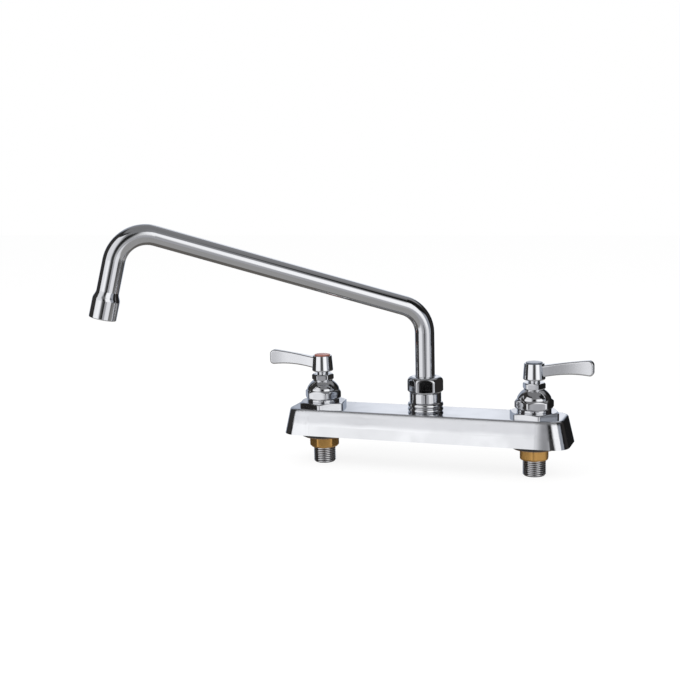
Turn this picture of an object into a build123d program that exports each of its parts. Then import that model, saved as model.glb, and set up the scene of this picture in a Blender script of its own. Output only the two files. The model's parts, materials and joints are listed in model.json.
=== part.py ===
from build123d import *
import math
import os

# Commercial deck-mount faucet with two lever valves and a high swivel spout.
# Millimetres. X runs along the deck with the cold valve on +X, Y runs towards the wall and Z is up.
# The origin lies on the underside of the body, below the axis of the spout.

# Layout
valve_spacing = 203.2

# Deck body, a cast shell with sloping walls
body_end_margin = 34.1
body_end_slope = 5.5
body_base_depth = 54.0
body_side_slope = 3.4
body_base_corner = 15.0
body_corner_slope = 2.6
body_height = 24.4
body_edge_fillet = 2.2
body_wall = 3.5
body_ceiling = 4.0
valve_boss_radius = 18.0
centre_boss_radius = 17.0
centre_boss_floor = 8.0
waterway_radius = 4.5
waterway_wall = 3.0
waterway_height = 14.0

# Fits
thread_clearance = 0.05
running_clearance = 0.05
moving_gap = 0.3
axial_play = 0.2

# Inlet nipples and the clamping parts below the deck
nipple_radius = 10.45
nipple_engaged_radius = 9.9
nipple_bore_radius = 7.5
nipple_drop = 30.0
nipple_chamfer = 1.2
nipple_socket_depth = 6.0
rubber_washer_radius = 22.0
rubber_washer_thickness = 3.3
metal_washer_radius = 19.5
metal_washer_thickness = 1.3
lock_nut_flats = 25.4
lock_nut_height = 10.4
lock_nut_chamfer = 1.6
hot_lock_nut_turn = -68.9
cold_lock_nut_turn = -52.9
washer_clearance = 0.25
hexagon_chamfer_bite = 0.2

# Valve seat and the ceramic cartridge
seat_thickness = 2.0
seat_hole_radius = 6.0
chamber_radius = 10.2
seal_thickness = 1.6
disc_radius = 7.4
disc_thickness = 2.2
disc_port_radius = 5.6
disc_port_inner_radius = 1.6
disc_gap = 0.1
cartridge_radius = 9.4
cartridge_length = 26.4
cartridge_bore_radius = 7.8
cartridge_bore_length = 14.4
cartridge_window_height = 4.0
cartridge_window_width = 9.0

# Hexagonal plate below each bonnet
plate_flats = 41.2
plate_thickness = 5.0
plate_corner_chamfer = 1.2
hot_plate_turn = -50.2
cold_plate_turn = -99.2

# Bonnet, measured up from the top of the plate
bonnet_thread_radius = 12.0
bonnet_thread_length = 10.8
bonnet_collar_radius = 15.5
bonnet_collar_height = 2.6
bonnet_hex_radius = 18.4
bonnet_hex_height = 9.0
bonnet_hex_lower_chamfer = 1.5
bonnet_hex_upper_chamfer = 2.5
bonnet_dome_radius = 15.9
bonnet_dome_sink = 0.8
bonnet_dome_height = 8.8
bonnet_shoulder_radius = 13.9
bonnet_shoulder_height = 4.2
bonnet_waist_radius = 9.2
bonnet_waist_height = 0.6
bonnet_neck_radius = 7.0
bonnet_wall_clearance = 0.1
hot_bonnet_turn = -89.0
cold_bonnet_turn = -69.3

# Gland nut above the bonnet
packing_nut_flats = 18.5
packing_nut_height = 5.8
packing_nut_chamfer = 1.1
packing_height = 5.0
hot_packing_nut_turn = -73.5
cold_packing_nut_turn = -91.4

# Valve stem
stem_radius = 5.2
stem_neck_height = 2.6
stem_foot_radius = 4.0
stem_foot_height = 4.5
stem_flange_radius = 7.4
stem_square = 7.0
stem_square_height = 9.0
stem_square_corner_radius = 4.5
tang_length = 7.0
tang_width = 2.2
tang_depth = 0.9
stem_groove_height = 1.3
stem_groove_depth = 1.1
stem_groove_place = 30.0

# Lever handles
hub_base_radius = 10.2
hub_top_radius = 9.0
hub_height = 15.0
hub_base_fillet = 1.5
hub_top_fillet = 0.4
hub_web = 1.5
screw_radius = 2.0
screw_head_radius = 3.9
screw_head_height = 2.0
screw_length = 8.0
screw_slot = 1.0
button_radius = 7.5
button_edge_rise = 0.5
button_dome_rise = 0.7
button_recess = 1.6
lever_reach = 53.2
lever_root_reach = 5.0
lever_root_top = 12.8
lever_root_bottom = 2.1
lever_tip_top = 19.6
lever_tip_bottom = 4.6
lever_waist_reach = 30.0
lever_waist_bottom = 5.7
lever_crown = 0.5
lever_tip_upper_corner = 4.6
lever_tip_lower_corner = 3.6
lever_root_width = 9.0
lever_grip_width = 5.0
lever_grip_reach = 36.0
lever_lip_width = 7.4
lever_lip_flare = 0.12
lever_edge_fillet = 1.5

# Foot of the spout
bead_radius = 16.5
bead_root_radius = 15.3
bead_lower_height = 4.1
bead_upper_height = 4.5
post_thread_radius = 8.0
post_thread_length = 5.4
post_core_radius = 12.9
post_bore_radius = 5.0
post_collar_radius = 14.65
post_collar_height = 9.0
post_collar_fillet = 0.6
post_nose_radius = 12.5
post_nose_height = 8.0
swivel_radius = 11.0
swivel_depth = 19.5

# Spout nut
spout_nut_flats = 29.4
spout_nut_height = 15.0
spout_nut_lower_chamfer = 1.8
spout_nut_lower_bite = 0.4
spout_nut_dome = 4.6
spout_nut_shoulder_inward = 0.28
spout_nut_shoulder_upward = 0.68
spout_nut_top_radius = 10.8
spout_nut_ceiling = 3.6
spout_nut_turn = -73.7

# Swivel sleeve brazed to the foot of the tube
sleeve_inner_radius = 7.4
sleeve_socket_depth = 10.4
sleeve_flange_thickness = 2.2
sleeve_groove_height = 1.9
sleeve_groove_depth = 1.8
oring_section = 1.7
oring_spacing = 4.0
oring_first = 3.5
glide_washer_thickness = 0.8

# Spout tube, from its axis outward in one upright plane
spout_azimuth = 208.0
tube_radius = 9.0
tube_wall = 1.2
riser_corner_height = 117.6
arm_run = 270.7
arm_rise = 86.6
riser_bend_radius = 27.0
tip_bend_radius = 29.0
leg_length = 83.6
leg_tilt = 13.9
leg_radius = 10.05
outlet_radius = 12.2
outlet_length = 16.8
outlet_shoulder = 8.0
outlet_rim_fillet = 0.8
aerator_bore_radius = 11.0
aerator_bore_depth = 9.0

# Aerator in the outlet
aerator_clearance = 0.05
aerator_gasket_thickness = 1.4
aerator_gasket_inner_radius = 8.2
aerator_housing_wall = 1.5
aerator_recess = 0.5
screen_thickness = 1.0
screen_hole_radius = 0.8
screen_hole_pitch = 2.6
screen_rings = 3

# Heights and radii that follow from the sizes above
valve_x = valve_spacing / 2
body_half_length = valve_x + body_end_margin
seat_bottom = nipple_socket_depth
seat_top = seat_bottom + seat_thickness
seal_top = seat_top + seal_thickness
fixed_disc_top = seal_top + disc_thickness
moving_disc_bottom = fixed_disc_top + disc_gap
moving_disc_top = moving_disc_bottom + disc_thickness
cartridge_top = seal_top + cartridge_length
cartridge_bore_top = seal_top + cartridge_bore_length
window_bottom = moving_disc_top
plate_top = body_height + plate_thickness
bonnet_bottom = plate_top - bonnet_thread_length
bonnet_bore_radius = cartridge_radius + bonnet_wall_clearance
hex_bottom = plate_top + bonnet_collar_height
hex_top = hex_bottom + bonnet_hex_height
dome_bottom = hex_top - bonnet_dome_sink
waist_bottom = dome_bottom + bonnet_dome_height
waist_top = waist_bottom + bonnet_waist_height
packing_top = cartridge_top + packing_height
packing_nut_top = waist_top + packing_nut_height
gland_bore_radius = stem_radius + running_clearance
hub_bottom = packing_nut_top + stem_neck_height
hub_top = hub_bottom + hub_height
square_top = hub_bottom + stem_square_height
screw_seat = square_top + axial_play + hub_web
ring_top = body_height + bead_lower_height + bead_upper_height
collar_top = ring_top + post_collar_height
nose_top = collar_top + post_nose_height
swivel_floor = nose_top - swivel_depth
sleeve_radius = swivel_radius - running_clearance
sleeve_bottom = swivel_floor + axial_play
flange_bottom = nose_top + axial_play
flange_top = flange_bottom + sleeve_flange_thickness
tube_foot = flange_top - sleeve_socket_depth
nut_top = collar_top + spout_nut_height
nut_ceiling = nut_top - spout_nut_ceiling
nut_bore_radius = post_nose_radius + thread_clearance
clamp_bottom = -rubber_washer_thickness - metal_washer_thickness
lock_nut_bottom = clamp_bottom - lock_nut_height

# Angle from the middle of a hexagon's facet to its corner
half_facet = 30

os.makedirs("parts", exist_ok=True)


def drum(radius, low, high):
    """A plain round bar on the Z axis between two heights."""
    return Pos(0, 0, low) * extrude(Circle(radius), high - low)


def tube(outer, inner, low, high):
    """A plain round sleeve on the Z axis between two heights."""
    return Pos(0, 0, low) * extrude(Circle(outer) - Circle(inner), high - low)


def turned(*points):
    """A turned piece from its half section, given as radius and height."""
    return revolve(Plane.XZ * make_face(Polyline(*points, close=True)), Axis.Z)


def turned_curve(*edges):
    """A turned piece from its half section, given as joined lines and arcs."""
    return revolve(Plane.XZ * make_face(Curve(children=[]) + list(edges)), Axis.Z)


def hexagon(flats, low, high, facet_turn):
    """A hexagonal bar whose first facet faces the given direction."""
    outline = RegularPolygon(flats / 2, 6, major_radius=False, rotation=facet_turn + half_facet)
    return Pos(0, 0, low) * extrude(outline, high - low)


def chamfered_hexagon(flats, low, high, facet_turn, lower, upper):
    """A hexagonal bar with its corners turned off at one or both ends."""
    corner = flats / 2 / math.cos(math.radians(half_facet))
    flat = flats / 2 - hexagon_chamfer_bite
    points = [(0, low)]
    if lower:
        points += [(flat, low), (corner, low + lower)]
    else:
        points += [(corner, low)]
    if upper:
        points += [(corner, high - upper), (flat, high)]
    else:
        points += [(corner, high)]
    points += [(0, high)]
    return hexagon(flats, low, high, facet_turn) & turned(*points)


def section_of_body(height, inset):
    """The rounded rectangle that the walls of the body follow at one height."""
    share = height / body_height
    half_length = body_half_length - share * body_end_slope - inset
    half_depth = body_base_depth / 2 - share * body_side_slope - inset
    corner = body_base_corner - share * body_corner_slope - inset
    return Pos(0, 0, height) * RectangleRounded(2 * half_length, 2 * half_depth, corner)


def make_deck_body():
    """Sloping shell, open below, with two valve bosses, a centre boss and the waterway."""
    body = loft([section_of_body(0, 0), section_of_body(body_height, 0)], ruled=True)
    body = fillet(body.faces().sort_by(Axis.Z)[-1].edges(), body_edge_fillet)
    ceiling = body_height - body_ceiling
    hollow = loft([section_of_body(0, body_wall), section_of_body(ceiling, body_wall)], ruled=True)
    rib_radius = waterway_radius + waterway_wall
    rib = Pos(0, 0, waterway_height) * Rot(0, 90, 0) * Cylinder(rib_radius, valve_spacing)
    rib_top = ceiling - waterway_height
    rib += Pos(0, 0, waterway_height + rib_top / 2) * Box(valve_spacing, 2 * rib_radius, rib_top)
    hollow -= rib
    hollow -= drum(centre_boss_radius, 0, ceiling)
    for side in (-1, 1):
        hollow -= Pos(side * valve_x, 0, 0) * drum(valve_boss_radius, 0, ceiling)
    body -= hollow
    body -= Pos(0, 0, waterway_height) * Rot(0, 90, 0) * Cylinder(waterway_radius, valve_spacing)
    body -= drum(post_thread_radius + thread_clearance, centre_boss_floor, body_height)
    for side in (-1, 1):
        place = Pos(side * valve_x, 0, 0)
        body -= place * drum(nipple_engaged_radius + thread_clearance, 0, seat_bottom)
        body -= place * drum(seat_hole_radius, seat_bottom, seat_top)
        body -= place * drum(chamber_radius, seat_top, bonnet_bottom)
        body -= place * drum(bonnet_thread_radius + thread_clearance, bonnet_bottom, body_height)
    return body


def make_flange_plate(turn):
    """Hexagonal plate with its upper corners turned off and a clearance hole for the bonnet."""
    plate = chamfered_hexagon(plate_flats, body_height, plate_top, turn, 0, plate_corner_chamfer)
    return plate - drum(bonnet_thread_radius + washer_clearance, body_height, plate_top)


def make_bonnet(turn):
    """Collar, hexagon and dome above the plate, with the threaded skirt that goes into the body."""
    flats = 2 * bonnet_hex_radius * math.cos(math.radians(half_facet))
    hexagon_part = chamfered_hexagon(
        flats, hex_bottom, hex_top, turn, bonnet_hex_lower_chamfer, bonnet_hex_upper_chamfer
    )
    shoulder = (bonnet_shoulder_radius, dome_bottom + bonnet_shoulder_height)
    dome = turned_curve(
        Line((0, hex_bottom), (bonnet_dome_radius, hex_bottom)),
        Line((bonnet_dome_radius, hex_bottom), (bonnet_dome_radius, dome_bottom)),
        ThreePointArc(
            (bonnet_dome_radius, dome_bottom), shoulder, (bonnet_waist_radius, waist_bottom)
        ),
        Line((bonnet_waist_radius, waist_bottom), (bonnet_waist_radius, waist_top)),
        Line((bonnet_waist_radius, waist_top), (0, waist_top)),
        Line((0, waist_top), (0, hex_bottom)),
    )
    bonnet = hexagon_part + dome
    bonnet += drum(bonnet_collar_radius, plate_top, hex_bottom)
    bonnet += drum(bonnet_thread_radius, bonnet_bottom, plate_top)
    bonnet -= drum(bonnet_bore_radius, bonnet_bottom, cartridge_top)
    bonnet -= drum(bonnet_neck_radius, cartridge_top, waist_top)
    return bonnet


def make_packing_nut(turn):
    """Small hexagon gland whose spigot presses the packing down."""
    nut = chamfered_hexagon(
        packing_nut_flats, waist_top, packing_nut_top, turn, packing_nut_chamfer, packing_nut_chamfer
    )
    nut += drum(bonnet_neck_radius - thread_clearance, packing_top, waist_top)
    nut -= drum(gland_bore_radius, packing_top, packing_nut_top)
    return nut


def make_stem_packing():
    """Packing ring between the stem and the neck of the bonnet."""
    return tube(bonnet_neck_radius - thread_clearance, gland_bore_radius, cartridge_top, packing_top)


def make_seat_seal():
    """Rubber ring that the cartridge and its fixed disc press on the seat."""
    return tube(cartridge_radius, seat_hole_radius, seat_top, seal_top)


def disc_ports(low, high):
    """Two facing quarter sectors, the ports of a ceramic disc."""
    sector = Circle(disc_port_radius) - Circle(disc_port_inner_radius)
    span = 2 * disc_port_radius
    quarter = make_face(Polyline((0, 0), (span, span), (span, -span), close=True))
    ports = sector & (quarter + Rot(0, 0, 180) * quarter)
    return Pos(0, 0, low) * extrude(ports, high - low)


def make_fixed_disc():
    """Lower ceramic disc, held in the cartridge."""
    return drum(disc_radius, seal_top, fixed_disc_top) - disc_ports(seal_top, fixed_disc_top)


def make_moving_disc():
    """Upper ceramic disc, turned by the tang of the stem to shut the ports."""
    disc = drum(disc_radius - moving_gap, moving_disc_bottom, moving_disc_top)
    disc -= Rot(0, 0, 90) * disc_ports(moving_disc_bottom, moving_disc_top)
    slot_width = tang_width + axial_play
    slot_depth = tang_depth + axial_play
    slot = Box(tang_length + 2 * axial_play, slot_width, slot_depth)
    disc -= Pos(0, 0, moving_disc_top - slot_depth / 2) * slot
    return disc


def make_cartridge_body():
    """Brass sleeve round the discs and the stem, with a window on each side for the water."""
    sleeve = tube(cartridge_radius, cartridge_bore_radius, seal_top, cartridge_bore_top)
    sleeve += tube(cartridge_radius, gland_bore_radius, cartridge_bore_top, cartridge_top)
    window = Box(3 * cartridge_radius, cartridge_window_width, cartridge_window_height)
    sleeve -= Pos(0, 0, window_bottom + cartridge_window_height / 2) * window
    sleeve += tube(cartridge_bore_radius, disc_radius + thread_clearance, seal_top, fixed_disc_top)
    return sleeve


def make_stem():
    """Stem with its tang, drive flange, seal groove and the square that carries the handle."""
    foot_top = moving_disc_top + stem_foot_height
    flange_high = cartridge_bore_top - axial_play
    stem = drum(stem_foot_radius, moving_disc_top + axial_play, foot_top)
    stem += drum(stem_flange_radius, foot_top, flange_high)
    stem += drum(stem_radius, flange_high, hub_bottom)
    square = Rectangle(stem_square, stem_square) & Circle(stem_square_corner_radius)
    stem += Pos(0, 0, hub_bottom) * extrude(square, stem_square_height)
    tang_height = tang_depth + axial_play
    tang = Box(tang_length, tang_width, tang_height)
    stem += Pos(0, 0, moving_disc_top + axial_play - tang_height / 2) * tang
    groove_low = stem_groove_place - stem_groove_height / 2
    groove_high = stem_groove_place + stem_groove_height / 2
    stem -= tube(2 * stem_radius, stem_radius - stem_groove_depth, groove_low, groove_high)
    stem -= drum(screw_radius, screw_seat - screw_length, square_top)
    return stem


def make_stem_oring():
    """Round section ring in the groove of the stem."""
    section = stem_groove_depth / 2
    return Pos(0, 0, stem_groove_place) * Torus(stem_radius - section, section)


def lever_blade():
    """Blade of the lever along +X: side view crossed with top view, then softened edges."""
    root = (lever_root_reach, hub_bottom + lever_root_top)
    tip_top = (lever_reach, hub_bottom + lever_tip_top)
    tip_bottom = (lever_reach, hub_bottom + lever_tip_bottom)
    root_bottom = (lever_root_reach, hub_bottom + lever_root_bottom)
    middle = ((root[0] + tip_top[0]) / 2, (root[1] + tip_top[1]) / 2 + lever_crown)
    waist = (lever_waist_reach, hub_bottom + lever_waist_bottom)
    top = ThreePointArc(root, middle, tip_top)
    end = Line(tip_top, tip_bottom)
    bottom = Spline(tip_bottom, waist, root_bottom)
    side = make_face(Curve() + [top, end, bottom, Line(root_bottom, root)])
    side = fillet(side.vertices().group_by(Axis.X)[-1].sort_by(Axis.Y)[:1], lever_tip_lower_corner)
    side = fillet(side.vertices().group_by(Axis.X)[-1].sort_by(Axis.Y)[-1:], lever_tip_upper_corner)
    blade = extrude(Plane.XZ * side, lever_root_width, both=True)

    lip = (lever_reach, lever_lip_width / 2)
    flank = Spline(
        (0, lever_root_width / 2),
        (lever_grip_reach, lever_grip_width / 2),
        lip,
        tangents=[(1, 0), (1, lever_lip_flare)],
    )
    half = [flank, Line(lip, (lever_reach, 0)), Line((lever_reach, 0), (0, 0))]
    half = make_face(Curve() + half + [Line((0, 0), (0, lever_root_width / 2))])
    plan = half + mirror(half, Plane.XZ)
    blade &= Pos(0, 0, hub_bottom) * extrude(plan, 2 * hub_height)
    beyond_root = blade.edges().filter_by(lambda edge: edge.center().X > 2 * lever_root_reach)
    rims = beyond_root.filter_by(lambda edge: abs(edge.center().Y) > lever_grip_width / 4)
    long_rims = rims.filter_by(lambda edge: edge.length > lever_edge_fillet)
    return fillet(long_rims, lever_edge_fillet)


def make_handle():
    """Hub and blade in one casting, with the square socket, screw well and button recess."""
    foot = (hub_base_radius, hub_bottom)
    rim = (hub_top_radius, hub_top)
    profile = make_face(Polyline((0, hub_bottom), foot, rim, (0, hub_top), close=True))
    corners = profile.vertices().sort_by(Axis.X)[-2:].sort_by(Axis.Y)
    profile = fillet(corners[:1], hub_base_fillet)
    corners = profile.vertices().group_by(Axis.Y)[-1].sort_by(Axis.X)[-1:]
    profile = fillet(corners, hub_top_fillet)
    handle = revolve(Plane.XZ * profile, Axis.Z) + lever_blade()
    square = Rectangle(stem_square + 2 * thread_clearance, stem_square + 2 * thread_clearance)
    square &= Circle(stem_square_corner_radius + thread_clearance)
    handle -= Pos(0, 0, hub_bottom) * extrude(square, stem_square_height + axial_play)
    handle -= drum(screw_radius + thread_clearance, hub_bottom, hub_top)
    handle -= drum(screw_head_radius + moving_gap, screw_seat, hub_top)
    handle -= drum(button_radius + thread_clearance, hub_top - button_recess, hub_top)
    return handle


def make_handle_screw():
    """Screw that holds the handle down on the stem."""
    head_top = screw_seat + screw_head_height
    screw = drum(screw_head_radius, screw_seat, head_top)
    screw += drum(screw_radius, screw_seat - screw_length, screw_seat)
    return screw - Pos(0, 0, head_top) * Box(3 * screw_head_radius, screw_slot, 2 * screw_slot)


def make_index_button():
    """Pressed-in button with a low dome."""
    crown = hub_top + button_edge_rise + button_dome_rise
    dome_radius = (button_radius**2 + button_dome_rise**2) / (2 * button_dome_rise)
    button = drum(button_radius, hub_top - button_recess, crown)
    return button & Pos(0, 0, crown - dome_radius) * Sphere(dome_radius)


def make_inlet_nipple():
    """Threaded inlet shank: its free end at the crest radius, the rest at the pitch radius it mates on."""
    return turned(
        (nipple_bore_radius, seat_bottom),
        (nipple_engaged_radius, seat_bottom),
        (nipple_engaged_radius, lock_nut_bottom),
        (nipple_radius, lock_nut_bottom),
        (nipple_radius, nipple_chamfer - nipple_drop),
        (nipple_radius - nipple_chamfer, -nipple_drop),
        (nipple_bore_radius, -nipple_drop),
    )


def make_rubber_washer():
    """Soft washer between the body and the deck."""
    return tube(rubber_washer_radius, nipple_radius + washer_clearance, -rubber_washer_thickness, 0)


def make_metal_washer():
    """Flat washer under the soft one."""
    return tube(metal_washer_radius, nipple_radius + washer_clearance, clamp_bottom, -rubber_washer_thickness)


def make_lock_nut(turn):
    """Hexagonal nut on the shank, with the corners of its lower end turned off."""
    nut = chamfered_hexagon(lock_nut_flats, lock_nut_bottom, clamp_bottom, turn, lock_nut_chamfer, 0)
    return nut - drum(nipple_engaged_radius + thread_clearance, lock_nut_bottom, clamp_bottom)


def make_spout_base_ring():
    """Double bead round the foot of the spout post."""
    inner = post_core_radius + thread_clearance
    groove = body_height + bead_lower_height
    lower_middle = body_height + bead_lower_height / 2
    upper_middle = groove + bead_upper_height / 2
    return turned_curve(
        Line((inner, body_height), (bead_root_radius, body_height)),
        ThreePointArc(
            (bead_root_radius, body_height), (bead_radius, lower_middle), (bead_root_radius, groove)
        ),
        ThreePointArc(
            (bead_root_radius, groove), (bead_radius, upper_middle), (bead_root_radius, ring_top)
        ),
        Line((bead_root_radius, ring_top), (inner, ring_top)),
        Line((inner, ring_top), (inner, body_height)),
    )


def make_spout_post():
    """Post screwed into the body, with a collar, a threaded nose and the swivel socket."""
    collar = drum(post_collar_radius, ring_top, collar_top)
    collar = fillet(collar.edges().filter_by(GeomType.CIRCLE), post_collar_fillet)
    post = collar + drum(post_thread_radius, body_height - post_thread_length, body_height)
    post += drum(post_core_radius, body_height, ring_top)
    post += drum(post_nose_radius, collar_top, nose_top)
    post -= drum(post_bore_radius, body_height - post_thread_length, swivel_floor)
    post -= drum(swivel_radius, swivel_floor, nose_top)
    return post


def make_spout_nut():
    """Large hexagonal nut with a domed top that keeps the spout in its post."""
    corner = spout_nut_flats / 2 / math.cos(math.radians(half_facet))
    foot = spout_nut_flats / 2 - spout_nut_lower_bite
    edge = collar_top + spout_nut_lower_chamfer
    dome_start = nut_top - spout_nut_dome
    shoulder_radius = corner - spout_nut_shoulder_inward * (corner - spout_nut_top_radius)
    shoulder = (shoulder_radius, dome_start + spout_nut_shoulder_upward * spout_nut_dome)
    envelope = turned_curve(
        Line((0, collar_top), (foot, collar_top)),
        Line((foot, collar_top), (corner, edge)),
        Line((corner, edge), (corner, dome_start)),
        ThreePointArc((corner, dome_start), shoulder, (spout_nut_top_radius, nut_top)),
        Line((spout_nut_top_radius, nut_top), (0, nut_top)),
        Line((0, nut_top), (0, collar_top)),
    )
    nut = hexagon(spout_nut_flats, collar_top, nut_top, spout_nut_turn) & envelope
    nut -= drum(nut_bore_radius, collar_top, nut_ceiling)
    nut -= drum(tube_radius + moving_gap, nut_ceiling, nut_top)
    return nut


def make_glide_washer():
    """Thin low friction washer under the ceiling of the spout nut."""
    inner = tube_radius + moving_gap
    outer = post_nose_radius - thread_clearance
    return tube(outer, inner, nut_ceiling - glide_washer_thickness, nut_ceiling)


def make_spout_sleeve():
    """Turned sleeve that swivels in the post, with a flange above and two seal grooves."""
    flange_radius = nut_bore_radius - moving_gap
    sleeve = drum(sleeve_radius, sleeve_bottom, flange_bottom)
    sleeve += drum(flange_radius, flange_bottom, flange_top)
    sleeve -= drum(tube_radius + thread_clearance, tube_foot, flange_top)
    sleeve -= drum(sleeve_inner_radius, sleeve_bottom, tube_foot)
    for index in range(2):
        middle = sleeve_bottom + oring_first + index * oring_spacing
        low = middle - sleeve_groove_height / 2
        high = middle + sleeve_groove_height / 2
        sleeve -= tube(2 * sleeve_radius, sleeve_radius - sleeve_groove_depth, low, high)
    return sleeve


def make_spout_oring(index):
    """Round section ring in one groove of the sleeve."""
    section = oring_section / 2
    middle = sleeve_bottom + oring_first + index * oring_spacing
    return Pos(0, 0, middle) * Torus(sleeve_radius - section - thread_clearance, section)


# Corners of the spout's centre line in its own upright plane, as reach and height
arm_angle = math.degrees(math.atan2(arm_rise, arm_run))
leg_angle = leg_tilt - 90
arm_direction = (math.cos(math.radians(arm_angle)), math.sin(math.radians(arm_angle)))
leg_direction = (math.cos(math.radians(leg_angle)), math.sin(math.radians(leg_angle)))
tip_corner = (arm_run, riser_corner_height + arm_rise)
tip_turn = arm_angle - leg_angle
tip_tangent = tip_bend_radius * math.tan(math.radians(tip_turn / 2))
tip_start = (tip_corner[0] - tip_tangent * arm_direction[0], tip_corner[1] - tip_tangent * arm_direction[1])
leg_straight = leg_length - tip_tangent
outlet = (tip_corner[0] + leg_length * leg_direction[0], tip_corner[1] + leg_length * leg_direction[1])


def spout_core(arm_radius, end_radius):
    """Riser, arm and tip bend as one round bar, which swells in the tip bend."""
    path = FilletPolyline((0, tube_foot), (0, riser_corner_height), tip_start, radius=riser_bend_radius)
    path = Plane.XZ * path
    core = sweep(Pos(0, 0, tube_foot) * Circle(arm_radius), path=path)
    arc = JernArc(start=tip_start, tangent=arm_direction, radius=tip_bend_radius, arc_size=-tip_turn)
    arc = Plane.XZ * arc
    first = Plane(origin=arc @ 0, z_dir=arc % 0) * Circle(arm_radius)
    last = Plane(origin=arc @ 1, z_dir=arc % 1) * Circle(end_radius)
    core += sweep([first, last], path=arc, multisection=True)
    return core


def on_leg(shape):
    """Moves a shape from the Z axis, with the outlet at zero and the leg above, onto the leg."""
    return Pos(outlet[0], 0, outlet[1]) * Rot(0, -leg_tilt, 0) * shape


def make_spout_tube():
    """Drawn tube with one sweep, a swelling tip bend and the flared outlet."""
    leg_bore = leg_radius - tube_wall
    outer = spout_core(tube_radius, leg_radius)
    inner = spout_core(tube_radius - tube_wall, leg_bore)
    rim = (outlet_radius, outlet_rim_fillet)
    leg = turned_curve(
        Line((leg_bore, leg_straight), (leg_radius, leg_straight)),
        Line((leg_radius, leg_straight), (leg_radius, outlet_length + outlet_shoulder)),
        Spline(
            (leg_radius, outlet_length + outlet_shoulder),
            (outlet_radius, outlet_length),
            tangents=[(0, -1), (0, -1)],
        ),
        Line((outlet_radius, outlet_length), rim),
        RadiusArc(rim, (outlet_radius - outlet_rim_fillet, 0), outlet_rim_fillet),
        Line((outlet_radius - outlet_rim_fillet, 0), (aerator_bore_radius, 0)),
        Line((aerator_bore_radius, 0), (aerator_bore_radius, aerator_bore_depth)),
        Line((aerator_bore_radius, aerator_bore_depth), (leg_bore, aerator_bore_depth)),
        Line((leg_bore, aerator_bore_depth), (leg_bore, leg_straight)),
    )
    return (outer - inner) + on_leg(leg)


def make_aerator_gasket():
    """Flat seal at the bottom of the outlet's counterbore."""
    high = aerator_bore_depth
    outer = aerator_bore_radius - aerator_clearance
    return on_leg(tube(outer, aerator_gasket_inner_radius, high - aerator_gasket_thickness, high))


def make_aerator_housing():
    """Ring that screws into the outlet and carries the screen."""
    high = aerator_bore_depth - aerator_gasket_thickness
    outer = aerator_bore_radius - aerator_clearance
    inner = outer - aerator_housing_wall
    ledge = aerator_recess + 2 * screen_thickness
    housing = tube(outer, inner, aerator_recess, high)
    housing += tube(inner, inner - aerator_housing_wall, ledge, high)
    return on_leg(housing)


def make_aerator_screen():
    """Perforated disc in the mouth of the housing."""
    radius = aerator_bore_radius - 2 * aerator_clearance - aerator_housing_wall
    high = aerator_recess + 2 * screen_thickness
    screen = drum(radius, high - screen_thickness, high)
    holes = [Circle(screen_hole_radius)]
    for ring in range(1, screen_rings + 1):
        places = PolarLocations(ring * screen_hole_pitch, 6 * ring)
        holes += [place * Circle(screen_hole_radius) for place in places]
    for hole in holes:
        screen -= Pos(0, 0, high - screen_thickness) * extrude(hole, screen_thickness)
    return on_leg(screen)


def save(name, shape):
    """Writes one node."""
    export_step(shape, "parts/" + name + ".step")


save("deck_body", make_deck_body())

# Valves: both sides are alike but for the turn of their flats, and the levers point apart
hot_turns = (hot_plate_turn, hot_bonnet_turn, hot_packing_nut_turn, hot_lock_nut_turn)
cold_turns = (cold_plate_turn, cold_bonnet_turn, cold_packing_nut_turn, cold_lock_nut_turn)
sides = (("hot", -valve_x, 180, hot_turns), ("cold", valve_x, 0, cold_turns))
for side, x, lever_turn, turns in sides:
    plate_turn, bonnet_turn, packing_nut_turn, lock_nut_turn = turns
    place = Pos(x, 0, 0)
    save("flange_plate_" + side, place * make_flange_plate(plate_turn))
    save("bonnet_" + side, place * make_bonnet(bonnet_turn))
    save("packing_nut_" + side, place * make_packing_nut(packing_nut_turn))
    save("stem_packing_" + side, place * make_stem_packing())
    save("seat_seal_" + side, place * make_seat_seal())
    save("fixed_disc_" + side, place * make_fixed_disc())
    save("moving_disc_" + side, place * make_moving_disc())
    save("cartridge_body_" + side, place * make_cartridge_body())
    save("stem_" + side, place * make_stem())
    save("stem_oring_" + side, place * make_stem_oring())
    save("handle_" + side, place * Rot(0, 0, lever_turn) * make_handle())
    save("handle_screw_" + side, place * make_handle_screw())
    save("index_button_" + side, place * make_index_button())
    save("inlet_nipple_" + side, place * make_inlet_nipple())
    save("rubber_washer_" + side, place * make_rubber_washer())
    save("metal_washer_" + side, place * make_metal_washer())
    save("lock_nut_" + side, place * make_lock_nut(lock_nut_turn))

save("spout_base_ring", make_spout_base_ring())
save("spout_post", make_spout_post())
save("spout_nut", make_spout_nut())
save("glide_washer", make_glide_washer())

# Everything that swivels with the spout, turned from its own plane to where it points
swing = Rot(0, 0, spout_azimuth)
save("spout_sleeve", swing * make_spout_sleeve())
save("spout_oring_lower", swing * make_spout_oring(0))
save("spout_oring_upper", swing * make_spout_oring(1))
save("spout_tube", swing * make_spout_tube())
save("aerator_gasket", swing * make_aerator_gasket())
save("aerator_housing", swing * make_aerator_housing())
save("aerator_screen", swing * make_aerator_screen())
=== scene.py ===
import json
import math

import bmesh
import bpy
from mathutils import Matrix, Vector


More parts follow.
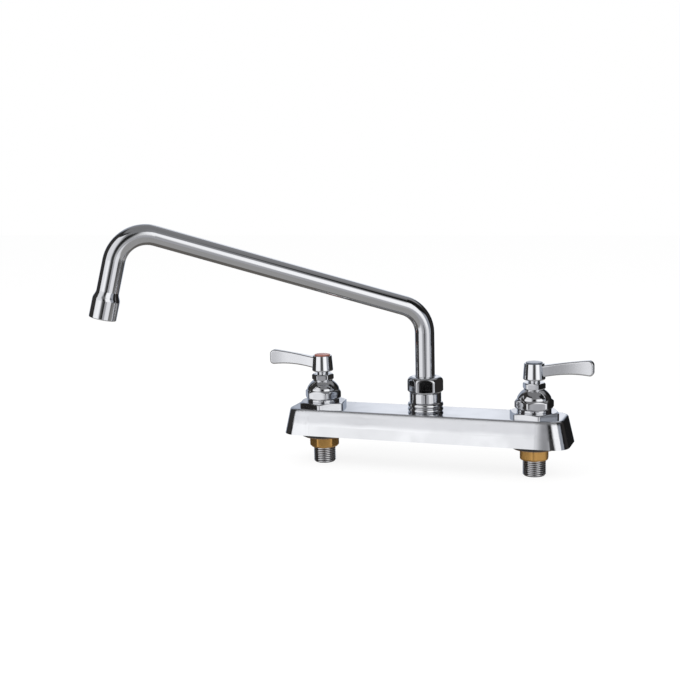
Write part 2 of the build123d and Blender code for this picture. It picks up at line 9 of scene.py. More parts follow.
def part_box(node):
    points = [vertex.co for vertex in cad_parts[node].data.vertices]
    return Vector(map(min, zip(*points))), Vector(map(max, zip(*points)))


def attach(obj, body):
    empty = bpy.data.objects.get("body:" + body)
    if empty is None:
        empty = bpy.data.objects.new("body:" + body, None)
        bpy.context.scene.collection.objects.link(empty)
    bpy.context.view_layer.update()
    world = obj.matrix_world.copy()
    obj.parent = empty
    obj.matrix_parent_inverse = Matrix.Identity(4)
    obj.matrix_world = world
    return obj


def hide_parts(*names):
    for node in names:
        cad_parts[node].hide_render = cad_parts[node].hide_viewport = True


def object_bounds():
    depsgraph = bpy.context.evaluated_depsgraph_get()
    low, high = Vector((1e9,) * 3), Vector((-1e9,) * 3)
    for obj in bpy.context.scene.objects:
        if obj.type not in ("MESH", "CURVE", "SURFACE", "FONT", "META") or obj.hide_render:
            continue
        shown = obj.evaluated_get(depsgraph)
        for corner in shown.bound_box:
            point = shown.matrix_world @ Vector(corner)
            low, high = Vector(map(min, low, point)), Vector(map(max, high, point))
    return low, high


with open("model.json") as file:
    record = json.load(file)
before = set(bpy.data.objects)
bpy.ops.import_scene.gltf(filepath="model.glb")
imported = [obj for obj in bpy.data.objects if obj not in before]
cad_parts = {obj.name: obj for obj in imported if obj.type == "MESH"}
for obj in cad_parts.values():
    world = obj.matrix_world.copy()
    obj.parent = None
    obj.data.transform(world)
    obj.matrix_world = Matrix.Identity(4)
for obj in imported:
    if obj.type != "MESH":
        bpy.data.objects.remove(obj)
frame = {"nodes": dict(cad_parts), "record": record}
cad_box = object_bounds()

# Lengths are in millimetres and angles in degrees; the camera, the lamps and the floor are in metres
MM = 0.001

# Camera, fitted to the photograph
CAMERA_PLACE = (0.31148, -1.06783, 0.26443)
CAMERA_YAW = 20.287
CAMERA_PITCH = 8.798
CAMERA_ROLL = -1.404
CLIP_START = 0.05
CLIP_END = 20.0
IMAGE_SIDE = 680
FOCAL_PIXELS = 1218.14
SENSOR_WIDTH = 36.0

# Studio as polished metal sees it, with azimuths counted from +X towards +Y
ZENITH = (0.22, 0.22, 0.225)
HORIZON = (0.012, 0.012, 0.012)
NADIR = (0.36, 0.355, 0.35)
CEILING_FROM = (54, 62)
FLOOR_FROM = (-24, -14)
PANELS = (
    # name, azimuth, half width, elevation, half height, softness of the edge, colour
    ("behind_right", 36, 16, 17, 37, 5, (0.03, 0.028, 0.027)),
    ("behind_left", 180, 26, 12, 44, 9, (0.04, 0.038, 0.037)),
    ("behind_below", 140, 80, -56, 30, 6, (0.14, 0.13, 0.12)),
    ("backdrop_top", 95, 60, 50, 16, 6, (0.26, 0.26, 0.27)),
    ("backdrop_wide", 115, 31, 16, 22, 4, (0.38, 0.42, 0.50)),
    ("backdrop_foot", 115, 31, -9, 5, 1.5, (0.36, 0.40, 0.48)),
    ("backdrop", 102, 9, 17, 21, 4, (0.92, 0.95, 1.02)),
    ("left_softbox", -116.5, 30.5, 18, 30, 3, (1.20, 1.20, 1.21)),
    ("left_softbox_upper", -116.5, 30.5, 26, 20, 3.5, (0.90, 0.90, 0.92)),
    ("left_softbox_side", -95.5, 5, 10, 22, 3, (0.80, 0.80, 0.82)),
    ("left_softbox_edge", -88.5, 4, 10, 22, 2.5, (0.46, 0.46, 0.48)),
    ("left_softbox_foot", -120, 25, -13, 12, 4, (0.96, 0.96, 0.98)),
    ("left_foot_inner", -98, 8, -13, 9, 4, (0.56, 0.56, 0.58)),
    ("right_edge", -11, 16, 3, 15.5, 2.5, (0.36, 0.38, 0.42)),
    ("right_softbox", -44.5, 22.5, 11, 27, 4, (1.18, 1.18, 1.19)),
    ("right_foot", -36, 20, -13, 9, 4, (0.92, 0.92, 0.94)),
    ("right_top", -46, 18, 48, 14, 6, (0.25, 0.25, 0.26)),
    ("camera_side", -76, 12, 18, 22, 8, (0.02, 0.02, 0.02)),
    ("camera_low", -76, 15, -7, 9, 8, (0.09, 0.09, 0.09)),
    ("camera_top", -79, 21, 47, 14, 6, (0.22, 0.22, 0.225)),
    ("camera_foot", -76, 17, -17, 9, 4, (0.42, 0.42, 0.44)),
    ("right_foot_inner", -56, 6, -13, 9, 4, (0.44, 0.44, 0.46)),
    ("camera", -72.5, 4, -8.5, 6, 1.5, (0.004, 0.004, 0.004)),
)
UNEVEN_SCALE = 26.0
UNEVEN_RANGE = (0.35, 0.55)
UNEVEN_DEPTH = 0.16

# Light for matt surfaces, and the floor
PLAIN_LEVEL = 0.8
LAMPS = (
    # name, place, size, watts
    ("key", (-0.9, -1.2, 1.3), 1.2, 14.0),
    ("fill", (1.1, -0.8, 0.9), 1.2, 7.0),
)
FLOOR_SIDE = 6.0
FLOOR_COLOUR = (0.9, 0.9, 0.9)
FLOOR_GLOW = 1.06
FLOOR_GLOW_SHARE = 0.78

# Colours
WHITE = (1, 1, 1)
BLACK = (0, 0, 0)
CHROME = (0.80, 0.81, 0.83)
LEVER_CHROME = (0.86, 0.87, 0.89)
BRASS = (0.74, 0.42, 0.13)
NICKEL = (0.80, 0.80, 0.81)
# Painted shade in the roots of the shanks' thread
THREAD_ROOT_SHADE = (0.16, 0.16, 0.165)
STEEL = (0.62, 0.62, 0.62)
RUBBER = (0.03, 0.03, 0.03)
FIBRE = (0.33, 0.20, 0.11)
RED = (0.42, 0.15, 0.11)
# Painted shade on the red button's side
RED_PAINTED_SHADE = (0.30, 0.10, 0.07)
GREY = (0.24, 0.26, 0.31)
# Painted shade on the grey button's side
GREY_PAINTED_SHADE = (0.07, 0.085, 0.11)
CERAMIC = (0.92, 0.91, 0.88)
PALE_PLASTIC = (0.88, 0.88, 0.86)

# Patches of gloss and shade, and grains, by their number to the metre
GLOSS_PATCHES = 60.0
GLOSS_RANGE = (0.3, 0.7)
SHADE_PATCHES = 25.0
FINE_GRAINS = (900, 900, 900)
TURNED_GRAINS = (20, 20, 1100)

# Relief of the polished castings
RIPPLE_SIZE = 30.0
WORN_RADIUS = 5.0
WORN_FROM = (7.0, 10.0)
WORN_SAMPLES = 8
ROLL_OFF_FROM = (106.0, 126.0)
ROLL_OFF_DEPTH = 1.2
CROWN_HEIGHTS = (9.0, 24.0)
CROWN_DEPTH = 0.6

# Lever blades turn from polished to satin between these distances from the hub's axis
SATIN_FROM = (11.0, 22.0)
SATIN_ROUGHNESS = 0.16

# Hexagonal pieces, by width across flats, sharpness of their edges and azimuth of a facet
FLATS = {"flange_plate": 41.2, "bonnet": 31.87, "packing_nut": 18.5, "lock_nut": 25.4, "spout_nut": 29.4}
SHARPNESS = {"flange_plate": 60, "bonnet": 34, "packing_nut": 45, "lock_nut": 20, "spout_nut": 45}
LEAST_FACING = 0.3
FACET_AZIMUTH = {
    "flange_plate_hot": -50.2,
    "flange_plate_cold": -99.2,
    "bonnet_hot": -89.0,
    "bonnet_cold": -69.3,
    "packing_nut_hot": -73.5,
    "packing_nut_cold": -91.4,
    "lock_nut_hot": -68.9,
    "lock_nut_cold": -52.9,
    "spout_nut": -73.7,
}

# Inlet shank and its rolled thread, with the chamfer of its foot as steps inward and upward
SHANK_BORE = 7.5
SHANK_CREST = 10.44
SHANK_ENGAGED = 9.9
SHANK_CHAMFER = ((1.2, 0.0), (0.8, 0.35), (0.4, 0.75))
BORE_CHAMFER = 0.5
STEP_UNDER_NUT = 0.02
THREAD_START = 1.25
THREAD_PITCH = 1.814
THREAD_DEPTH = 1.2
THREAD_FLAT_SHARE = 0.4
THREAD_RINGS_PER_TURN = 12
# Radii between which painted shade deepens towards the thread's roots
SHADED_RADII = (10.3, 9.5)

# Index buttons, with the bevel of their rim as steps inward and downward
BUTTON_RADIUS = 7.45
BUTTON_EDGE = 74.05
BUTTON_CROWN = 74.6
BUTTON_BEVEL = ((0.0, 0.3), (0.1, 0.1), (0.35, 0.0))
BUTTON_DOME_SHARE = 0.6
BUTTON_DOME_DROP = 0.2
# Heights over which the painted shade on a button's side gives way to the colour of its top
BUTTON_PAINTED_SHADE_FROM = (73.8, 74.2)

# Mesh of the dressed pieces
LONGEST_STEP = 1.5
CORNER_SUPPORT = 0.15
CORNER_STEPS = 4
MOST_ROUNDED = 0.4
MOST_SUPPORTED = 0.45
SAME_PLACE = 1e-7
SHANK_SIDES = 72
BUTTON_SIDES = 64
BESIDE_CORNER = (0, 0.5, 1.0, 1.6, 2.3, 3.1, 4.2, 5.8, 8.0, 11.0, 15.0, 20.0, 25.0)

# What the frame gives
body_of = {node: body for body, nodes in frame["record"]["behaviour"]["bodies"].items() for node in nodes}
slot_of = {part["node"]: part["material_slot"] for part in frame["record"]["subparts"]}
mount_place = {mount["name"]: mount["pos_m"] for mount in frame["record"]["mounts"]}
valve_x = round(mount_place["inlet_cold"][0] / MM, 2)
heights = {node: [round(corner.z / MM, 2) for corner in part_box(node)] for node in frame["nodes"]}


def make_camera():
    """The photograph's camera."""
    data = bpy.data.cameras.new("camera")
    data.sensor_width = SENSOR_WIDTH
    data.lens = FOCAL_PIXELS / IMAGE_SIDE * SENSOR_WIDTH
    data.clip_start = CLIP_START
    data.clip_end = CLIP_END
    camera = bpy.data.objects.new("camera", data)
    bpy.context.scene.collection.objects.link(camera)
    yaw, pitch, roll = (math.radians(angle) for angle in (CAMERA_YAW, CAMERA_PITCH, CAMERA_ROLL))
    ahead = Vector((-math.sin(yaw) * math.cos(pitch), math.cos(yaw) * math.cos(pitch), -math.sin(pitch)))
    right = Vector((math.cos(yaw), math.sin(yaw), 0))
    up = right.cross(ahead)
    rolled_right = right * math.cos(roll) + up * math.sin(roll)
    rolled_up = up * math.cos(roll) - right * math.sin(roll)
    turn = Matrix((rolled_right, rolled_up, -ahead)).transposed().to_4x4()
    camera.matrix_world = Matrix.Translation(CAMERA_PLACE) @ turn
    bpy.context.scene.camera = camera


class Nodes:
    """Short calls that add nodes to one shader tree and link them."""

    def __init__(self, tree):
        self.tree = tree
        tree.nodes.clear()

    def add(self, kind, inputs=(), **settings):
        """One node; inputs gives (socket, value or output) pairs."""
        node = self.tree.nodes.new(kind)
        for name, value in settings.items():
            setattr(node, name, value)
        for socket, value in inputs:
            self.put(node.inputs[socket], value)
        return node

    def put(self, socket, value):
        """A link or a value on a socket."""
        if isinstance(value, bpy.types.NodeSocket):
            self.tree.links.new(value, socket)
        elif hasattr(value, "__len__") and socket.type == "RGBA" and len(value) == 3:
            socket.default_value = (*value, 1)
        else:
            socket.default_value = value

    def math(self, operation, *values):
        return self.add("ShaderNodeMath", list(enumerate(values)), operation=operation).outputs[0]

    def split(self, vector):
        return self.add("ShaderNodeSeparateXYZ", [(0, vector)]).outputs

    def span(self, value, low, high, to_low=0.0, to_high=1.0, smooth=False):
        kind = "SMOOTHSTEP" if smooth else "LINEAR"
        before = [("Value", value), ("From Min", low), ("From Max", high)]
        after = [("To Min", to_low), ("To Max", to_high)]
        return self.add("ShaderNodeMapRange", before + after, interpolation_type=kind).outputs["Result"]

    def mix(self, share, first, second):
        node = self.add("ShaderNodeMix", data_type="RGBA")
        for socket, value in ((0, share), (6, first), (7, second)):
            self.put(node.inputs[socket], value)
        return node.outputs[2]

    def mix_vectors(self, share, first, second):
        node = self.add("ShaderNodeMix", data_type="VECTOR")
        for socket, value in ((0, share), (4, first), (5, second)):
            self.put(node.inputs[socket], value)
        return node.outputs[1]

    def noise(self, place, scale, detail=2.0, roughness=0.5):
        pairs = [("Vector", place), ("Scale", scale), ("Detail", detail), ("Roughness", roughness)]
        return self.add("ShaderNodeTexNoise", pairs).outputs["Fac"]

    def bump(self, height, depth, normal):
        """The normal after a relief of this depth; the normal before it may be None."""
        pairs = [("Height", height), ("Distance", depth * MM), ("Strength", 1.0)]
        if normal is not None:
            pairs.append(("Normal", normal))
        return self.add("ShaderNodeBump", pairs).outputs[0]


def radians(angles):
    return [math.radians(angle) for angle in angles]


def metres(lengths):
    return [length * MM for length in lengths]


def paint_panel(nodes, direction, elevation, below, panel):
    """The colour below it, with one panel of the studio over it."""
    _, azimuth, half_width, middle, half_height, soft, colour = panel
    pairs = [("Vector", direction), ("Angle", -math.radians(azimuth))]
    turned = nodes.add("ShaderNodeVectorRotate", pairs, rotation_type="Z_AXIS")
    parts = nodes.split(turned.outputs[0])
    sideways = nodes.math("ABSOLUTE", nodes.math("ARCTAN2", parts["Y"], parts["X"]))
    upwards = nodes.math("ABSOLUTE", nodes.math("SUBTRACT", elevation, math.radians(middle)))
    across = nodes.span(sideways, *radians((half_width - soft, half_width + soft)), 1.0, 0.0, smooth=True)
    along = nodes.span(upwards, *radians((half_height - soft, half_height + soft)), 1.0, 0.0, smooth=True)
    return nodes.mix(nodes.math("MULTIPLY", across, along), below, colour)


def make_world():
    """White for the camera, a plain level for matt surfaces, and the studio's panels for polished ones."""
    world = bpy.data.worlds.new("studio")
    bpy.context.scene.world = world
    world.use_nodes = True
    world.cycles.sampling_method = "NONE"
    nodes = Nodes(world.node_tree)
    direction = nodes.add("ShaderNodeTexCoord").outputs["Generated"]
    elevation = nodes.math("ARCSINE", nodes.split(direction)["Z"])
    colour = nodes.mix(nodes.span(elevation, *radians(FLOOR_FROM), smooth=True), NADIR, HORIZON)
    colour = nodes.mix(nodes.span(elevation, *radians(CEILING_FROM), smooth=True), colour, ZENITH)
    for panel in PANELS:
        colour = paint_panel(nodes, direction, elevation, colour, panel)
    patches = nodes.noise(direction, UNEVEN_SCALE)
    colour = nodes.mix(nodes.span(patches, *UNEVEN_RANGE, UNEVEN_DEPTH, 0.0, smooth=True), colour, BLACK)
    path = nodes.add("ShaderNodeLightPath").outputs
    plain = nodes.mix(path["Is Glossy Ray"], (PLAIN_LEVEL,) * 3, colour)
    seen = nodes.mix(path["Is Camera Ray"], plain, WHITE)
    background = nodes.add("ShaderNodeBackground", [("Color", seen)])
    nodes.add("ShaderNodeOutputWorld", [("Surface", background.outputs[0])])


def make_floor():
    """Pale floor under the inlet shanks, with a faint shadow. Polished metal doesn't see it."""
    bpy.ops.mesh.primitive_plane_add(size=FLOOR_SIDE, location=(0, 0, cad_box[0].z))
    floor = bpy.context.object
    floor.name = "floor"
    floor.visible_glossy = False
    material = bpy.data.materials.new("floor")
    material.use_nodes = True
    nodes = Nodes(material.node_tree)
    matt = nodes.add("ShaderNodeBsdfDiffuse", [("Color", FLOOR_COLOUR)])
    glow = nodes.add("ShaderNodeEmission", [("Color", WHITE), ("Strength", FLOOR_GLOW)])
    seen = nodes.add("ShaderNodeLightPath").outputs["Is Camera Ray"]
    share = nodes.math("MULTIPLY", seen, FLOOR_GLOW_SHARE)
    both = nodes.add("ShaderNodeMixShader", [(0, share), (1, matt.outputs[0]), (2, glow.outputs[0])])
    nodes.add("ShaderNodeOutputMaterial", [("Surface", both.outputs[0])])
    floor.data.materials.append(material)


def make_lamp(name, place, size, power):
    """Soft lamp aimed at the object, which polished metal doesn't see."""
    data = bpy.data.lights.new(name, "AREA")
    data.size = size
    data.energy = power
    lamp = bpy.data.objects.new(name, data)
    bpy.context.scene.collection.objects.link(lamp)
    lamp.location = place
    lamp.rotation_euler = (-Vector(place)).to_track_quat("-Z", "Y").to_euler()
    lamp.visible_glossy = False


def worn_edges(nodes, place, _):
    """First relief of the deck body: its upper edges are polished round."""
    above = nodes.span(nodes.split(place)["Z"], *metres(WORN_FROM))
    plain = nodes.add("ShaderNodeNewGeometry").outputs["Normal"]
    worn = nodes.add("ShaderNodeBevel", [("Radius", WORN_RADIUS * MM)], samples=WORN_SAMPLES).outputs[0]
    return nodes.mix_vectors(above, plain, worn)


def rolled_ends(nodes, place, normal):
    """Relief of the deck body: its long walls fall back before its ends."""
    from_middle = nodes.math("ABSOLUTE", nodes.split(place)["X"])
    fall = nodes.span(from_middle, *metres(ROLL_OFF_FROM), 1.0, 0.0, smooth=True)
    return nodes.bump(fall, ROLL_OFF_DEPTH, normal)


def crowned_walls(nodes, place, normal):
    """Relief of the deck body: its walls swell a little towards their foot."""
    fall = nodes.span(nodes.split(place)["Z"], *metres(CROWN_HEIGHTS), 1.0, 0.0, smooth=True)
    return nodes.bump(fall, CROWN_DEPTH, normal)


def ripple(depth):
    """Relief of slow waves in a polished surface."""

    def relief(nodes, place, normal):
        return nodes.bump(nodes.noise(place, 1 / (RIPPLE_SIZE * MM), detail=1.0), depth, normal)

    return relief


def grain(depth, per_metre):
    """Relief of a fine grain, with so many grains to the metre along each axis."""

    def relief(nodes, place, normal):
        stretched = nodes.add("ShaderNodeMapping", [("Vector", place), ("Scale", per_metre)]).outputs[0]
        return nodes.bump(nodes.noise(stretched, 1.0, detail=4.0, roughness=0.7), depth, normal)

    return relief


def satin_blade(nodes, place, rough):
    """Roughness of a lever: polished at its hub and satin along its blade."""
    from_middle = nodes.math("ABSOLUTE", nodes.split(place)["X"])
    from_hub = nodes.math("ABSOLUTE", nodes.math("SUBTRACT", from_middle, valve_x * MM))
    satin = nodes.span(from_hub, *metres(SATIN_FROM), 0.0, SATIN_ROUGHNESS, smooth=True)
    return nodes.math("ADD", rough, satin)


def button_painted_shade(painted_shade_colour):
    """Colour of an index button: painted shade makes its side darker than its top."""

    def repaint(nodes, place, shade):
        top = nodes.span(nodes.split(place)["Z"], *metres(BUTTON_PAINTED_SHADE_FROM), smooth=True)
        return nodes.mix(top, painted_shade_colour, shade)

    return repaint


def thread_root_shade(nodes, place, shade):
    """Colour of a shank: painted shade darkens the roots of its thread."""
    parts = nodes.split(place)
    from_axis = nodes.math("SUBTRACT", nodes.math("ABSOLUTE", parts["X"]), valve_x * MM)
    squares = nodes.math("ADD", nodes.math("POWER", from_axis, 2.0), nodes.math("POWER", parts["Y"], 2.0))
    shaded_root = nodes.span(nodes.math("SQRT", squares), *metres(SHADED_RADII))
    below_nut = nodes.math("LESS_THAN", parts["Z"], heights["lock_nut_hot"][0] * MM)
    return nodes.mix(nodes.math("MULTIPLY", shaded_root, below_nut), shade, THREAD_ROOT_SHADE)


def surface_material(
    name,
    colour,
    roughness,
    metallic=1.0,
    spread=0.04,
    tint=0.03,
    coat=0.0,
    roughen=None,
    repaint=None,
    reliefs=(),
):
    """Finish with uneven gloss and shade. roughen, repaint and reliefs add what only this finish has."""
    material = bpy.data.materials.new(name)
    material.use_nodes = True
    nodes = Nodes(material.node_tree)
    place = nodes.add("ShaderNodeTexCoord").outputs["Object"]
    patches = nodes.noise(place, GLOSS_PATCHES, detail=3.0)
    rough = nodes.span(patches, *GLOSS_RANGE, max(roughness - spread, 0.0), roughness + spread)
    if roughen:
        rough = roughen(nodes, place, rough)
    darker = tuple(channel * (1 - tint) for channel in colour)
    shade = nodes.mix(nodes.noise(place, SHADE_PATCHES), darker, colour)
    if repaint:
        shade = repaint(nodes, place, shade)
    normal = None
    for relief in reliefs:
        normal = relief(nodes, place, normal)
    pairs = [("Base Color", shade), ("Metallic", metallic), ("Roughness", rough), ("Coat Weight", coat)]
    if normal is not None:
        pairs.append(("Normal", normal))
    shader = nodes.add("ShaderNodeBsdfPrincipled", pairs)
    nodes.add("ShaderNodeOutputMaterial", [("Surface", shader.outputs[0])])
    return material


def make_castings():
    """Finishes of the nodes that have one of their own."""
    body = surface_material(
        "chrome_cast",
        CHROME,
        roughness=0.08,
        spread=0.03,
        reliefs=(worn_edges, rolled_ends, crowned_walls, ripple(depth=0.3)),
    )
    lever = surface_material("chrome_lever", LEVER_CHROME, roughness=0.07, spread=0.02, roughen=satin_blade)
    tube = surface_material(
        "chrome_drawn", CHROME, roughness=0.08, spread=0.02, reliefs=(ripple(depth=0.05),)
    )
    return {"deck_body": body, "handle_hot": lever, "handle_cold": lever, "spout_tube": tube}


def make_metals():
    """Finishes of the slots that are metal."""
    return {
        "chrome": surface_material("chrome_turned", CHROME, roughness=0.07, spread=0.02),
        "brass": surface_material(
            "brass",
            BRASS,
            roughness=0.32,
            metallic=0.85,
            spread=0.05,
            tint=0.2,
            reliefs=(grain(depth=0.06, per_metre=TURNED_GRAINS),),
        ),
        # Nickel shanks, with painted shade in the roots of their thread
        "nickel": surface_material("nickel", NICKEL, roughness=0.12, spread=0.05, repaint=thread_root_shade),
        "stainless": surface_material("steel", STEEL, roughness=0.2, spread=0.05),
    }


def make_seals():
    """Finishes of the slots for washers, rings and discs."""
    fine_grain = grain(depth=0.1, per_metre=FINE_GRAINS)
    return {
        "black_rubber": surface_material(
            "rubber", RUBBER, roughness=0.6, metallic=0, spread=0.1, reliefs=(fine_grain,)
        ),
        "fibre": surface_material(
            "fibre", FIBRE, roughness=0.7, metallic=0, spread=0.1, tint=0.3, reliefs=(fine_grain,)
        ),
        "ceramic": surface_material("ceramic", CERAMIC, roughness=0.3, metallic=0),
        "white_plastic": surface_material("white_plastic", PALE_PLASTIC, roughness=0.4, metallic=0),
    }


def make_button_finish(name, colour, painted_shade_colour, roughness):
    """Glossy plastic whose side carries painted shade, darker than its top."""
    return surface_material(
        name, colour, roughness, metallic=0, spread=0.05, coat=0.3, repaint=button_painted_shade(painted_shade_colour)
    )


def make_finishes():
    """The finish of each node."""
    by_slot = {
        **make_metals(),
        **make_seals(),
        "red_plastic": make_button_finish("red_button", RED, RED_PAINTED_SHADE, roughness=0.3),
        "grey_plastic": make_button_finish("grey_button", GREY, GREY_PAINTED_SHADE, roughness=0.25),
    }
    return {node: by_slot[slot] for node, slot in slot_of.items()} | make_castings()


def blend_points(first, second, share):
    return tuple(a + (b - a) * share for a, b in zip(first, second))


def rounded(corners):
    """Samples along a closed outline. A corner is (radius, height, rounding), and a pair is a plain point."""
    samples = []
    for i, corner in enumerate(corners):
        here = corner[:2]
        if len(corner) == 2:
            samples.append(here)
            continue
        before, after = corners[i - 1][:2], corners[(i + 1) % len(corners)][:2]
        ends = []
        for other in (before, after):
            length = math.dist(here, other)
            reach = min(corner[2], MOST_ROUNDED * length) / length
            hold = min(corner[2] + CORNER_SUPPORT, MOST_SUPPORTED * length) / length
            ends.append((blend_points(here, other, hold), blend_points(here, other, reach)))
        samples.append(ends[0][0])
        for step in range(CORNER_STEPS + 1):
            share = step / CORNER_STEPS
            inward = blend_points(ends[0][1], here, share)
            outward = blend_points(here, ends[1][1], share)
            samples.append(blend_points(inward, outward, share))
        samples.append(ends[1][0])
    fine = []
    for first, second in zip(samples, samples[1:] + samples[:1]):
        parts = math.ceil(math.dist(first, second) / LONGEST_STEP)
        fine += [blend_points(first, second, k / parts) for k in range(max(parts, 1))]
    return fine


def arc(start, via, end, count):
    """Points on the circle through three points, from start to end without them."""
    (ax, ay), (bx, by), (cx, cy) = start, via, end
    divisor = 2 * (ax * (by - cy) + bx * (cy - ay) + cx * (ay - by))
    squares = [x * x + y * y for x, y in (start, via, end)]
    middle_x = (squares[0] * (by - cy) + squares[1] * (cy - ay) + squares[2] * (ay - by)) / divisor
    middle_y = (squares[0] * (cx - bx) + squares[1] * (ax - cx) + squares[2] * (bx - ax)) / divisor
    radius = math.dist((middle_x, middle_y), start)
    first, last = (math.atan2(y - middle_y, x - middle_x) for x, y in (start, end))
    turns = [first + (last - first) * (k + 1) / (count + 1) for k in range(count)]
    return [(middle_x + radius * math.cos(turn), middle_y + radius * math.sin(turn)) for turn in turns]


def swept(name, axis_x, outline, directions, reach=None):
    """Closed mesh from an outline of (radius, height) carried round an upright axis."""
    vertices = []
    on_axis = [radius == 0 for radius, _ in outline]
    for radius, height in outline:
        for direction in directions:
            true_radius = reach(radius, height, direction) if reach else radius
            turn = math.radians(direction)
            x = axis_x + true_radius * math.cos(turn)
            vertices.append((x * MM, true_radius * math.sin(turn) * MM, height * MM))
    across, along = len(directions), len(outline)
    faces = []
    for j in range(along):
        low, high = j * across, (j + 1) % along * across
        if on_axis[j] and on_axis[(j + 1) % along]:
            continue
        for i in range(across):
            after = (i + 1) % across
            faces.append((low + i, low + after, high + after, high + i))
    mesh = bpy.data.meshes.new(name)
    mesh.from_pydata(vertices, [], faces)
    if any(on_axis):
        grid = bmesh.new()
        grid.from_mesh(mesh)
        bmesh.ops.remove_doubles(grid, verts=grid.verts, dist=SAME_PLACE)
        grid.to_mesh(mesh)
        grid.free()
    mesh.polygons.foreach_set("use_smooth", [True] * len(mesh.polygons))
    piece = bpy.data.objects.new(name, mesh)
    bpy.context.scene.collection.objects.link(piece)
    return piece


def even_directions(count):
    return [360 * k / count for k in range(count)]


def paint(piece, material):
    piece.data.materials.clear()
    piece.data.materials.append(material)


def hand_over(piece, node):
    """The piece takes the place, body and finish of a CAD node."""
    paint(piece, finishes[node])
    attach(piece, body_of[node])
    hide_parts(node)


def facet_directions(turn):
    """Directions round a hexagon, close together beside its corners."""
    sector = BESIDE_CORNER + (30.0,) + tuple(60 - angle for angle in reversed(BESIDE_CORNER[1:]))
    return [turn + 30 + 60 * k + angle for k in range(6) for angle in sector]


def hexagon_reach(apothem, turn, sharpness):
    """Radius of a hexagonal bar under a turned envelope, with its edges worn round by polishing.

    A facet counts only where it faces the direction.
    """

    def reach(radius, height, direction):
        total = radius ** -sharpness
        for k in range(6):
            toward = math.cos(math.radians(direction - turn - 60 * k))
            if toward > LEAST_FACING:
                total += (toward / apothem) ** sharpness
        return total ** (-1 / sharpness)

    return reach


def flange_plate_outline():
    """Hexagonal plate whose upper corners are worn down."""
    low, high = heights["flange_plate_hot"]
    bore, corner, top, wear = 12.3, 23.8, 20.5, 1.0
    return [
        (bore, low),
        (corner, low, 0.1),
        (corner, high - wear, 0.15),
        (top, high, 0.25),
        (bore, high),
    ]


def bonnet_outline():
    """Bore, thread, collar, hexagon, and dome up to the waist below the gland nut."""
    low, high = heights["bonnet_hot"]
    plate_top = heights["flange_plate_hot"][1]
    neck_bore, bore, bore_top = 7.0, 9.5, 36.0
    thread, collar, collar_top = 12.0, 15.5, 31.9
    corner, corner_low, corner_high = 18.4, 33.6, 38.3
    hexagon_foot, hexagon_top = (16.2, 32.0), (15.3, 40.7)
    waist, waist_foot = 9.2, 49.0
    dome_start, on_dome = (15.45, 41.5), (13.8, 44.5)
    return [
        (neck_bore, high),
        (neck_bore, bore_top),
        (bore, bore_top),
        (bore, low),
        (thread, low),
        (thread, plate_top),
        (collar, plate_top, 0.3),
        (collar, collar_top, 0.2),
        (*hexagon_foot, 0.1),
        (corner, corner_low, 0.5),
        (corner, corner_high, 0.6),
        (*hexagon_top, 0.2),
        *arc(dome_start, on_dome, (waist, waist_foot), count=12),
        (waist, waist_foot, 0.2),
        (waist, high, 0.2),
    ]


def packing_nut_outline():
    """Gland nut with its thread down into the bonnet, chamfered above and below."""
    low, high = heights["packing_nut_hot"]
    seat = heights["bonnet_hot"][1]
    bore, thread, face, corner, chamfer = 5.25, 6.95, 9.1, 10.68, 1.1
    return [
        (bore, high),
        (bore, low),
        (thread, low),
        (thread, seat),
        (face, seat, 0.2),
        (corner, seat + chamfer, 0.3),
        (corner, high - chamfer, 0.3),
        (face, high, 0.2),
    ]


def lock_nut_outline():
    """Nut below the deck, chamfered at its foot."""
    low, high = heights["lock_nut_hot"]
    bore, face, corner, chamfer = 9.96, 12.5, 14.66, 1.6
    return [
        (bore, high),
        (bore, low),
        (face, low, 0.3),
        (corner, low + chamfer, 0.4),
        (corner, high, 1.8),
    ]


def spout_nut_outline():
    """Large nut with a chamfered foot and a rounded top."""
    low, high = heights["spout_nut"]
    tube_bore, bore, ceiling = 9.3, 12.55, 3.6
    face, corner, chamfer, top = 14.3, 16.97, 1.8, 10.8
    dome_start, on_dome = (corner, 52.4), (15.245, 55.53)
    return [
        (tube_bore, high),
        (tube_bore, high - ceiling),
        (bore, high - ceiling),
        (bore, low),
        (face, low, 0.3),
        (corner, low + chamfer, 0.5),
        dome_start,
        *arc(dome_start, on_dome, (top, high), count=10),
        (top, high, 0.2),
    ]


def dress_hexagon(kind, node, axis_x, outline):
    """Finer hexagonal piece in place of a node."""
    turn = FACET_AZIMUTH[node]
    reach = hexagon_reach(FLATS[kind] / 2, turn, SHARPNESS[kind])
    hand_over(swept(node + "_dressed", axis_x, rounded(outline), facet_directions(turn), reach), node)


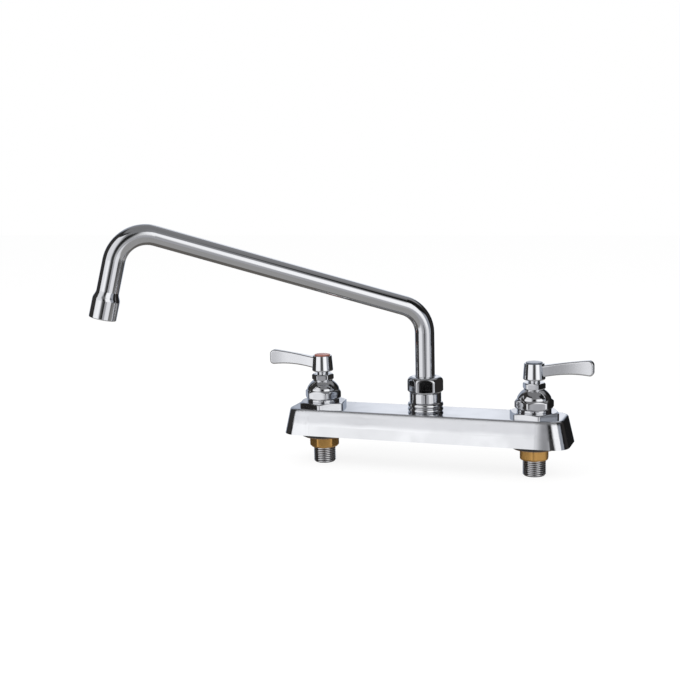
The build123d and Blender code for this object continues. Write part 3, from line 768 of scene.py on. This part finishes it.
def dress_shank(node, axis_x):
    """Inlet shank with a rolled thread below its lock nut."""
    foot, top = heights[node]
    start, nut_low = foot + THREAD_START, heights["lock_nut_hot"][0]
    middle_of_wall = (SHANK_BORE + SHANK_CREST) / 2
    rings = int((nut_low - start) / THREAD_PITCH * THREAD_RINGS_PER_TURN)
    chamfer = [(SHANK_CREST - inward, foot + upward) for inward, upward in SHANK_CHAMFER]
    outer = [(SHANK_CREST, start + (nut_low - start) * k / rings) for k in range(rings + 1)]
    engaged = [(SHANK_ENGAGED, nut_low + STEP_UNDER_NUT), (SHANK_ENGAGED, top)]
    inner = [(SHANK_BORE, top), (SHANK_BORE, foot + BORE_CHAMFER), (SHANK_BORE + BORE_CHAMFER, foot)]

    def reach(radius, height, direction):
        if radius < middle_of_wall or height > nut_low:
            return radius
        across = abs(2 * ((height / THREAD_PITCH - direction / 360) % 1) - 1)
        groove = max(0.0, (across - THREAD_FLAT_SHARE) / (1 - THREAD_FLAT_SHARE))
        return min(radius, SHANK_CREST - THREAD_DEPTH * groove * groove * (3 - 2 * groove))

    outline = chamfer + outer + engaged + inner
    hand_over(swept(node + "_dressed", axis_x, outline, even_directions(SHANK_SIDES), reach), node)


def dress_button(node, axis_x):
    """Domed button that stands a little proud of the hub, with a rounded edge."""
    seat = heights[node][0]
    bevel = [(BUTTON_RADIUS - inward, BUTTON_EDGE - downward) for inward, downward in BUTTON_BEVEL]
    on_dome = (BUTTON_RADIUS * BUTTON_DOME_SHARE, BUTTON_CROWN - BUTTON_DOME_DROP)
    crown = (0.0, BUTTON_CROWN)
    dome = arc(bevel[-1], on_dome, crown, count=8)
    outline = [(0.0, seat), (BUTTON_RADIUS, seat, 0.1), *bevel, *dome, crown]
    hand_over(swept(node + "_dressed", axis_x, rounded(outline), even_directions(BUTTON_SIDES)), node)


def dress_valve(side, axis_x):
    """The finer pieces of one valve, from its flange plate to its button."""
    dress_hexagon("flange_plate", f"flange_plate_{side}", axis_x, flange_plate_outline())
    dress_hexagon("bonnet", f"bonnet_{side}", axis_x, bonnet_outline())
    dress_hexagon("packing_nut", f"packing_nut_{side}", axis_x, packing_nut_outline())
    dress_hexagon("lock_nut", f"lock_nut_{side}", axis_x, lock_nut_outline())
    dress_shank(f"inlet_nipple_{side}", axis_x)
    dress_button(f"index_button_{side}", axis_x)


make_camera()
bpy.context.scene.view_settings.view_transform = "Standard"
make_world()
make_floor()
for lamp in LAMPS:
    make_lamp(*lamp)

finishes = make_finishes()
for name, node in frame["nodes"].items():
    paint(node, finishes[name])
dress_valve("hot", -valve_x)
dress_valve("cold", valve_x)
dress_hexagon("spout_nut", "spout_nut", 0.0, spout_nut_outline())
